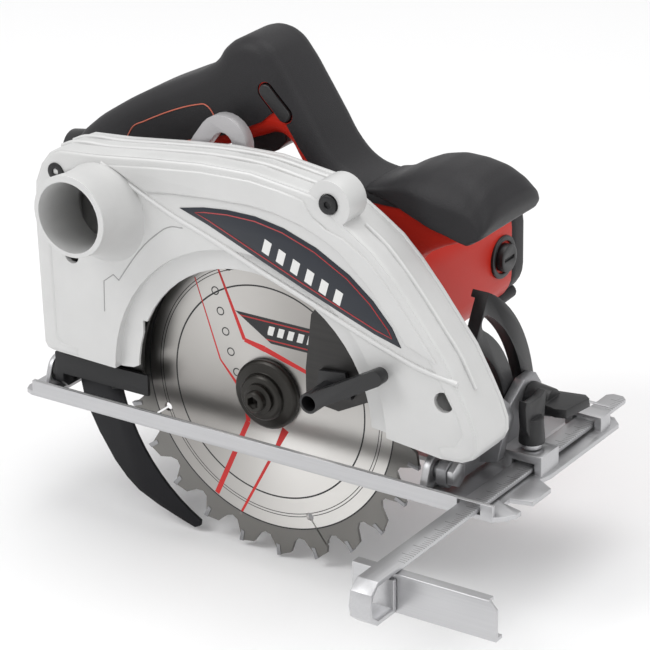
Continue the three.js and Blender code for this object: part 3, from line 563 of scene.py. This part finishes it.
# outlines in millimetres from the arbor
guardFace = {
    "front": -20.0, "belt": 1.5, "rimBack": 8.5, "rimRound": 3.0,
    "edge": [(-128, 2.6), (-131.6, 3.6), (-133.2, 6.6), (-134, 40), (-135, 80), (-133.5, 99),
             (-129, 110), (-123.5, 117), (-116, 120.5), (-91, 122.6), (-57, 127), (-25, 130.6),
             (6, 131.6), (34, 128.2), (43, 127), (50, 123.4), (56, 117), (66, 111), (78, 103),
             (89.5, 91.8), (101, 78.4), (112, 64.6), (121.2, 52.8), (130.6, 36), (136, 25.4),
             (139.4, 16), (139.6, 9), (137, 3.6), (131, 0.6), (118, -0.4)],
    "inside": [(116, 7), (126, 9), (130, 16), (127, 24), (121, 34), (112, 49), (103, 60),
               (92, 73), (81, 85.5), (70, 95.5), (59, 103.6), (47, 111), (34, 116), (6, 120.5),
               (-25, 120), (-57, 116.6), (-91, 112.4), (-110, 109), (-119, 104), (-123, 96),
               (-124.5, 80), (-124, 40), (-123.5, 12), (-121, 9), (-110, 8), (-110, 2)],
    "outer": [(-84, 118.2), (-57, 122.4), (-25, 126.2), (6, 127.4), (24, 125.6), (38, 123.2),
              (44, 115), (52, 110.2), (62, 107.5), (76, 99.2), (87, 88.2), (98, 75.2),
              (108.6, 61.8), (117, 51.2)],
    "inner": [(98, 57.5), (92, 66.5), (77, 84), (59.5, 99.2), (48, 104.8), (36, 109.2),
              (20, 112.4), (5, 113.4), (-20, 112.2), (-45, 110), (-60, 107.6)],
    "rib": [(-89, 118.4), (-64, 106.4), (-44.3, 98.1), (-21.4, 90.5), (7.7, 79.7), (36.5, 69.7),
            (65, 59.6), (86, 52.4), (107, 46.4), (128.5, 43.2)],
    "topStep": [(-124, 117.8), (-116, 121.3), (-91, 123.6), (-57, 128), (-25, 131.6),
                (6, 132.7), (34, 129.4), (40.5, 128.6)],
    "frontStep": [(66.5, 111.5), (78.5, 103.6), (90, 92.4), (101.6, 79), (112.6, 65.2),
                  (121.8, 53.4), (131, 36.6)],
    "arrow": [(-38, 92), (-46, 91), (-56, 84), (-66, 74), (-74, 63.5), (-81, 53.5)],
    "arrowHead": [(-81, 53.5), (-84.5, 56), (-91, 51), (-91.5, 33.5)],
    "decal": [(-39.2, 103.1), (-24, 106.4), (-9.3, 108), (8.3, 108), (25.5, 105.2),
              (45.4, 98.5), (65.1, 88), (79, 77), (90.1, 64.8), (95.3, 55.2), (80, 59.2),
              (64.8, 64.6), (36.4, 74.9), (7.6, 86), (-21.5, 97.4)],
    "bar": [(0, -3.6), (4.2, -5.4), (6.4, 1.8), (2.2, 3.6)],
    "bars": {"count": 6, "x": 12, "z": 93.5, "right": 8.6, "down": 3.6},
}


def makeGuard():
    y = guardFace["front"]
    softened("guard_cover", "alloyInside", "saw_body", 1.1, 3, 40)
    softened("guard_back", "alloyInside", "saw_body", 0.8, 2, 40)
    ring = inset(guardFace["edge"], -0.25) + guardFace["inside"]
    rim = flatSolid("guardRim", [ring], y - 0.8, guardFace["rimBack"], guardFace["rimRound"], 4)
    finishPiece(rim, "alloy", "saw_body", 50)
    belt = flatSolid("guardBelt", [guardFace["outer"] + guardFace["inner"]],
                     y - guardFace["belt"], y + 0.4, 1.2, 3)
    rib = line("guardRib", [(a, y - 0.1, b) for a, b in guardFace["rib"]], 1.5, sides=5)
    finishPiece(joined("guardTrim", [belt, rib]), "alloy", "saw_body", 45)
    steps = [line(name, [(a, deep, b - drop) for a, b in guardFace[run]], radius, sides=5)
             for name, run, deep, drop, radius in (("rimStep", "topStep", -8, 0.7, 1.3),
                                                   ("rimStepRear", "topStep", 2, 0.7, 1.2),
                                                   ("rimStepFront", "frontStep", -7, 0.4, 1.3))]
    finishPiece(joined("rimSteps", steps), "alloy", "saw_body", 45)
    beads = [line(name, [(a, y + 0.1, b) for a, b in guardFace[run]], 0.36, smooth=smooth, sides=2)
             for name, run, smooth in (("arrowArc", "arrow", True),
                                       ("arrowHead", "arrowHead", False))]
    finishPiece(joined("guardArrow", beads), "groove", "saw_body", 45)
    decal = flatSolid("guardDecal", [guardFace["decal"]], y - 0.5, y + 0.3, 0.15, 1)
    finishPiece(decal, "navy", "saw_body")
    edge = [(a, y - 0.52, b) for a, b in inset(guardFace["decal"], 2.6)]
    frameLine = line("decalLine", edge, 0.32, cyclic=True, smooth=False, sides=1)
    finishPiece(frameLine, "redLine", "saw_body")
    row = guardFace["bars"]
    bars = []
    for i in range(row["count"]):
        a, b = row["x"] + i * row["right"], row["z"] - i * row["down"]
        bars.append(flatSolid("decalBar", [[(a + u, b + v) for u, v in guardFace["bar"]]],
                              y - 0.62, y - 0.4, 0.0, 0))
    finishPiece(joined("decalBars", bars), "white", "saw_body")
    for name in ("guard_screw_1", "guard_screw_2"):
        softened(name, "blackMetal", "saw_body", 0.4, 2)


# the tip's corners are given by their distance from the arbor and along the rim
bladeShape = {
    "teeth": 24, "firstTip": 2, "tipFront": -0.35, "tipBack": 2.55,
    "tip": [(95.1, -0.5), (94.5, 1.9), (88.5, 1.5), (88.2, -0.7)],
}


def makeBlade():
    softened("saw_blade", "blade", "spindle", 0.12, 1, 50)
    tips = []
    for i in range(bladeShape["teeth"]):
        turn = math.radians(bladeShape["firstTip"] + i * 360 / bladeShape["teeth"])
        radial = Vector((math.cos(turn), math.sin(turn)))
        along = Vector((-radial.y, radial.x))
        corners = [tuple(radial * r + along * t) for r, t in bladeShape["tip"]]
        tips.append(flatSolid("tip", [corners], bladeShape["tipFront"], bladeShape["tipBack"],
                              0.12, 1))
    finishPiece(joined("bladeTips", tips), "carbide", "spindle")
    for name, width in (("outer_flange", 0.5), ("blade_bolt", 0.5), ("inner_flange", 0.4)):
        softened(name, "flange", "spindle", width, 2)
    softened("riving_knife", "knife", "saw_body", 0.5, 2, 50)
    softened("lower_guard", "guard", "moving_guard", 0.5, 2, 50)
    softened("guard_lever", "black", "moving_guard", 1.0, 3)


handleShape = {
    "middle": 50.0, "half": 19.0, "round": 8.0, "gap": 0.15, "beyond": 120, "padLift": 0.9,
    "outline": [(-150, 90), (-147, 103), (-138, 113), (-120, 126), (-100, 138), (-80, 148),
                (-62, 157), (-52, 164.5), (-47, 171.5), (-40, 177), (-30, 180), (-20, 177.4),
                (-12, 169.6), (-2, 155.4), (8, 140.4), (18, 125.6), (28, 117.5), (40, 114.5),
                (52, 114.5), (64, 115.5), (78, 116), (90, 114), (98, 110), (102, 106),
                (102.5, 100), (98, 94), (84, 87), (66, 75), (52, 58), (46, 40), (38, 20),
                (-20, 20), (-34, 38), (-60, 60), (-100, 72), (-136, 78)],
    "opening": [(-82, 90), (-84, 100), (-78, 106), (-60, 113), (-42, 120.5), (-26, 127),
                (-15, 131), (-8, 129), (-2, 121), (5, 110), (11, 98), (13, 88), (8, 81),
                (-10, 77), (-40, 77), (-68, 81)],
    "padTop": 21,
    "padEdge": [(80, 106.5), (44, 106.5), (30, 105), (17.5, 112), (9.5, 118), (1, 128),
                (-7.5, 141), (-11, 145.5), (-16, 143), (-22, 137.5), (-30, 133.5),
                (-42, 127.5), (-60, 120), (-80, 112.5), (-90, 106), (-90, 86), (-140, 70)],
    "panel": [(-110, 98), (-107, 118), (-98, 124), (-62, 140), (-57, 140.5), (-51, 134),
              (-48, 127), (-62, 121), (-82, 113), (-92, 104), (-92, 96)],
    "triggerRoom": [(-50, 100), (-13, 100), (-13, 137), (-50, 137)], "triggerHalf": 9.5,
    "button": (-18.5, 155, -7.5, 144), "buttonFrom": 20, "buttonTo": 45,
    "everything": [(-300, -300), (300, -300), (300, 300), (-300, 300)],
}


def circle(x, z, radius, count=48):
    return [(x + radius * math.cos(math.tau * i / count),
             z + radius * math.sin(math.tau * i / count))
            for i in range(count)]


def roundSquare(x, z, half, corner, count=8):
    points = []
    for quarter in range(4):
        for i in range(count + 1):
            turn = math.radians(90 * quarter + 90 * i / count)
            middle = math.radians(90 * quarter + 45)
            reach = (half - corner) * math.sqrt(2)
            points.append((x + reach * math.cos(middle) + corner * math.cos(turn),
                           z + reach * math.sin(middle) + corner * math.sin(turn)))
    return points


def capsule(x0, z0, x1, z1, radius, count=10):
    along = math.atan2(z1 - z0, x1 - x0)
    points = []
    for x, z, start in ((x1, z1, along - math.pi / 2), (x0, z0, along + math.pi / 2)):
        points += [(x + radius * math.cos(start + math.pi * i / count),
                    z + radius * math.sin(start + math.pi * i / count)) for i in range(count + 1)]
    return points


motor = {
    "x": 6, "z": 31.4, "half": 41, "corner": 25, "bore": 36.6,
    "near": 44, "split": 171, "far": 187.5, "taper": 0.14,
    "capWall": 183, "capBore": 34, "slots": 3, "slotStep": 8.4,
    "slotReach": 25, "slotShorter": 3, "slotStart": 4.5, "slotRadius": 1.8,
    "slotFrom": 176, "slotTo": 195,
    "foot": [(31.5, 158, -31.6), (32, 172, -31), (32, 184, -30.6)], "footRadius": 4.2,
    "collar": 12.4, "collarBore": 9.4, "collarHalf": 1.6,
}


def raised(piece):
    # the housing gets lower towards its far end
    for vertex in piece.data.vertices:
        x, y, z = (vertex.co - arbor) / mm
        part = (y - motor["near"]) / (motor["split"] - motor["near"])
        vertex.co = fromArbor(x, y, motor["z"] + (z - motor["z"]) * (1 - motor["taper"] * part))
    return piece


def makeMotor():
    x, z, half, corner = motor["x"], motor["z"], motor["half"], motor["corner"]
    split = motor["split"]
    housing = flatSolid("motorHousing", [roundSquare(x, z, half, corner),
                                         circle(x, z, motor["bore"])], motor["near"], split, 0.9, 2)
    raised(housing)
    finishPiece(housing, "red", "saw_body", 40, ("motor_housing",))
    cap = flatSolid("motorEndCap", [roundSquare(x, z, half - 0.4, corner + 1)],
                    split + 0.2, motor["far"], 5, 4)
    boolean(cap, flatSolid("capHollow", [circle(x, z, motor["capBore"])],
                           split - 5, motor["capWall"]), "DIFFERENCE")
    slots = []
    for i in range(-motor["slots"], motor["slots"] + 1):
        at = x + i * motor["slotStep"]
        reach = motor["slotReach"] - abs(i) * motor["slotShorter"]
        for side in (-1, 1):
            run = capsule(at, z + side * motor["slotStart"], at, z + side * reach,
                          motor["slotRadius"])
            slots.append(flatSolid("slot", [run], motor["slotFrom"], motor["slotTo"]))
    boolean(cap, joined("slots", slots), "DIFFERENCE")
    raised(cap)
    finishPiece(cap, "soft", "saw_body", 40, ("motor_end_cap",))
    foot = line("capFoot", [(x + a, y, z + b) for a, y, b in motor["foot"]],
                motor["footRadius"], sides=5)
    finishPiece(foot, "soft", "saw_body", 50)
    for name in ("brush_cap_1", "brush_cap_2"):
        low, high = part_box(name)
        spot = ((low + high) / 2 - arbor) / mm
        face = x + half if spot.x > x else x - half
        rings = [circle(spot.y, spot.z, motor[size]) for size in ("collar", "collarBore")]
        collar = flatSolid(name + ".collar", rings, face - motor["collarHalf"],
                           face + motor["collarHalf"], 0.7, 2, plane="X")
        finishPiece(collar, "black", "saw_body", 40)


def handleSolid(name, lift):
    h = handleShape
    outer = inset(h["outline"], -lift)
    hole = inset(h["opening"], lift)
    return flatSolid(name, [outer, hole], h["middle"] - h["half"] - lift,
                     h["middle"] + h["half"] + lift, h["round"] + lift, 4, smooth=True)


def cutRooms(piece, trigger, button, radius):
    # room for the trigger and for the lock-off button
    h = handleShape
    boolean(piece, flatSolid(trigger, [h["triggerRoom"]], h["middle"] - h["triggerHalf"],
                             h["middle"] + h["triggerHalf"]), "DIFFERENCE")
    boolean(piece, flatSolid(button, [capsule(*h["button"], radius)],
                             h["buttonFrom"], h["buttonTo"]), "DIFFERENCE")


def makeHandle():
    h = handleShape
    bore = roundSquare(motor["x"], motor["z"], motor["half"] + 0.2, motor["corner"])
    for name, low, high in (("handle_half_blade_side", 0, h["middle"] - h["gap"]),
                            ("handle_half_motor_side", h["middle"] + h["gap"], h["beyond"])):
        half = handleSolid(name + ".shell", 0.0)
        boolean(half, flatSolid("keep", [h["everything"]], low, high), "INTERSECT")
        boolean(half, flatSolid("motorBore", [bore], 0, h["beyond"]), "DIFFERENCE")
        cutRooms(half, "triggerRoom", "buttonRoom", 4.6)
        finishPiece(half, "red", "saw_body", 50, (name,))
    pad = handleSolid("gripPad", h["padLift"])
    cutter = inset(h["outline"], -8)[:h["padTop"]] + h["padEdge"]
    boolean(pad, flatSolid("padCut", [cutter], 0, h["beyond"]), "INTERSECT")
    cutRooms(pad, "padTrigger", "padButton", 5.2)
    finishPiece(pad, "soft", "saw_body", 50, ("handle_grip_pad",))
    face = h["middle"] - h["half"] - 1.0
    seam = line("panelSeam", [(a, face, b) for a, b in h["panel"]], 0.35, cyclic=True, sides=2)
    finishPiece(seam, "paleLine", "saw_body")
    softened("lock_off_button", "black", "lock_off_key", 0.8, 3)
    softened("trigger", "black", "trigger_key", 1.2, 3)


knobShape = {
    "low": 19.5, "high": 79.5, "voxel": 1.5, "neck": 46, "neckWidth": 0.67, "widens": 44,
    "edgeDrop": 12, "crown": 2.5, "noseBack": 2.0,
    "profile": [(41, 112.5), (41, 115.4), (47, 116.6), (54, 119.6), (62, 124.6), (71, 129),
                (82, 131.6), (94, 131.6), (105, 129.4), (113, 124.6), (118.5, 118), (120, 111.5),
                (117, 104), (109.5, 98), (104, 99), (95, 102.6), (78, 108), (62, 110.6),
                (50, 111.6)],
}


def makeKnob():
    # the soft front grip: a rounded profile remeshed, then narrowed towards the handle and crowned
    k = knobShape
    knob = flatSolid("frontKnob", [k["profile"]], k["low"], k["high"], 1.0, 2)
    even = knob.modifiers.new("even", "REMESH")
    even.mode = "VOXEL"
    even.voxel_size = k["voxel"] * mm
    applyAll(knob)
    middle = (k["low"] + k["high"]) / 2
    reach = (k["high"] - k["low"]) / 2
    for vertex in knob.data.vertices:
        x, y, z = (vertex.co - arbor) / mm
        across = (y - middle) / reach
        grow = min(1, max(0, (x - k["neck"]) / k["widens"]))
        wide = k["neckWidth"] + (1 - k["neckWidth"]) * grow * grow * (3 - 2 * grow)
        top = max(0, (z - 100) / 32) * (0.25 + 0.75 * grow)
        drop = k["edgeDrop"] * abs(across) ** 4 * top + k["crown"] * across ** 2 * top
        back = k["noseBack"] * abs(across) ** 6 * max(0, (x - 95) / 24)
        vertex.co = fromArbor(x - back, middle + (y - middle) * wide * (1 - 0.05 * top), z - drop)
    ease = knob.modifiers.new("ease", "SMOOTH")
    ease.factor = 0.5
    ease.iterations = 9
    applyAll(knob)
    finishPiece(knob, "soft", "saw_body", 70, ("front_grip_pad",))


# nodes that only get eased edges: their finish and how wide the ease is
plain = {
    "base": {"sole_plate": ("steel", 0.5), "rear_ear": ("steel", 0.4), "front_ear": ("steel", 0.5),
             "bevel_quadrant": ("blackMetal", 0.9)},
    "fence": {"fence_bar": ("ruled", 0.35), "fence_plate": ("steel", 0.35)},
    "fence_screw": {"fence_screw_shank": ("shaft", 0.3), "fence_screw_wing": ("black", 0.9)},
    "tilting_frame": {"tilt_bracket": ("sheet", 0.9), "front_bevel_pin": ("shaft", 0.4),
                      "depth_pin": ("shaft", 0.4), "depth_arc": ("arcAlloy", 1.6),
                      "rear_holder": ("blackMetal", 0.8), "rear_pivot_knob": ("black", 1.0)},
    "bevel_clamp": {"bevel_bolt": ("shaft", 0.4), "bevel_wing": ("black", 1.0)},
    "depth_clamp": {"depth_bolt": ("shaft", 0.4), "depth_lever": ("black", 1.2)},
    "saw_body": {"gear_housing": ("alloy", 1.0), "brush_cap_1": ("black", 0.5),
                 "brush_cap_2": ("black", 0.5), "cord_gland": ("black", 0.8),
                 "knife_screw": ("shaft", 0.4)},
    "spindle_lock_key": {"spindle_lock": ("black", 0.7)},
}
# inner nodes, which keep their shape
hidden = {
    "shaft": ["arbor_shaft", "arbor_bearing_blade_side", "arbor_bearing_gear_side",
              "motor_bearing_gear_side", "motor_bearing_cap_side", "guard_spring",
              "handle_screw_1", "handle_screw_2", "handle_screw_3"],
    "knife": ["arbor_gear", "pinion"], "iron": ["stator"], "copper": ["armature"],
    "black": ["fan", "switch_body"], "carbon": ["brush_1", "brush_2"],
}
lipGroove = {"from": -143, "to": 148, "deep": -17.7, "high": -20.05, "radius": 0.32}

makeGuard()
print("guard ready")
makeBlade()
print("blade ready")
makeMotor()
makeHandle()
makeKnob()
print("handle ready")
for body, pieces in plain.items():
    for node, (finish, width) in pieces.items():
        softened(node, finish, body, width, 2)
lipEnds = [(lipGroove[end], lipGroove["deep"], lipGroove["high"]) for end in ("from", "to")]
lip = line("lipGroove", lipEnds, lipGroove["radius"], smooth=False, sides=1)
finishPiece(lip, "groove", "base")
for finish, names in hidden.items():
    for node in names:
        for spot in nodes[node].material_slots:
            spot.material = finishes[finish]
print("hardware ready")

# lamps have a place in metres, a width and a power
studio = {
    "floorSize": 14, "floorGap": 0.001, "sky": 0.72, "aim": (0, 0, 0.05),
    "lamps": {
        "key": ((-0.9, -1.3, 1.5), 0.9, 15.0),
        "top": ((0.1, 0.2, 1.9), 1.4, 14.0),
        "side": ((1.8, -0.3, 0.9), 0.8, 6.0),
    },
}
floorFinish = Finish("paleFloor")
floorNoise = floorFinish.noise(3, 2)
floorMaterial = floorFinish.surface(
    Base_Color=floorFinish.mix(floorNoise, (0.88, 0.88, 0.885), (0.90, 0.90, 0.90)), Roughness=0.8)
clearSelection()
bpy.ops.mesh.primitive_plane_add(
    size=studio["floorSize"], location=(0, 0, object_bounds()[0].z - studio["floorGap"]))
floor = bpy.context.object
floor.name = "floor"
floor.data.materials.append(floorMaterial)

for name, (spot, size, power) in studio["lamps"].items():
    light = bpy.data.lights.new(name, "AREA")
    light.size = size
    light.energy = power
    lamp = bpy.data.objects.new(name, light)
    lamp.location = spot
    aim = Vector(studio["aim"]) - Vector(spot)
    lamp.rotation_euler = aim.to_track_quat("-Z", "Y").to_euler()
    bpy.context.scene.collection.objects.link(lamp)
world = bpy.data.worlds.new("studio")
world.use_nodes = True
sky = world.node_tree.nodes["Background"]
sky.inputs["Color"].default_value = (1, 1, 1, 1)
sky.inputs["Strength"].default_value = studio["sky"]
bpy.context.scene.world = world
bpy.context.scene.view_settings.view_transform = "Standard"
print("light ready")
